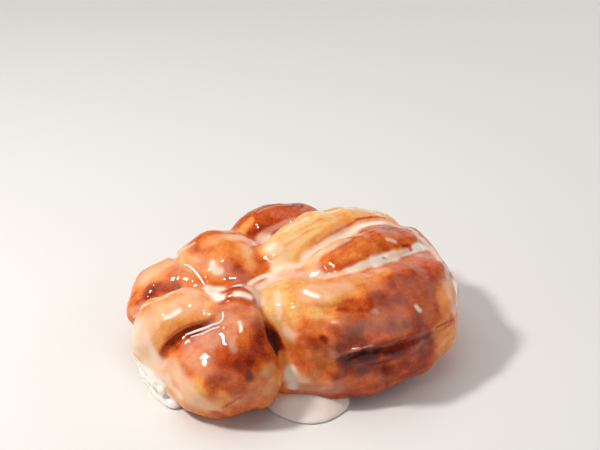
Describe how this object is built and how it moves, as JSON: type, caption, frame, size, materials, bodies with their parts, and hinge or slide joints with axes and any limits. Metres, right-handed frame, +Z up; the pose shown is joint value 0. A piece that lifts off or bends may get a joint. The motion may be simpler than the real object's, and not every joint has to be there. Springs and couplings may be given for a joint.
{
  "type": "apple fritter",
  "caption": "Glazed apple fritter: one broad, low lump of fried dough with swollen, folded strands and a flat base to rest on.",
  "frame": {"origin": "on the surface it rests on, under the middle of the fritter's box", "axes": "+X along its length, towards the end where the long ridges meet; +Y away from the side with the front bulb and the shelf under the flap; +Z up"},
  "size_m": [0.1244, 0.1032, 0.0457],
  "materials": {
    "fried_dough": "fried golden to red-brown crust under a thin wet sugar glaze",
    "glaze": "smooth translucent off-white sugar glaze, glossy"
  },
  "bodies": {
    "root": {"fritter": "fried_dough"}
  },
  "joints": []
}
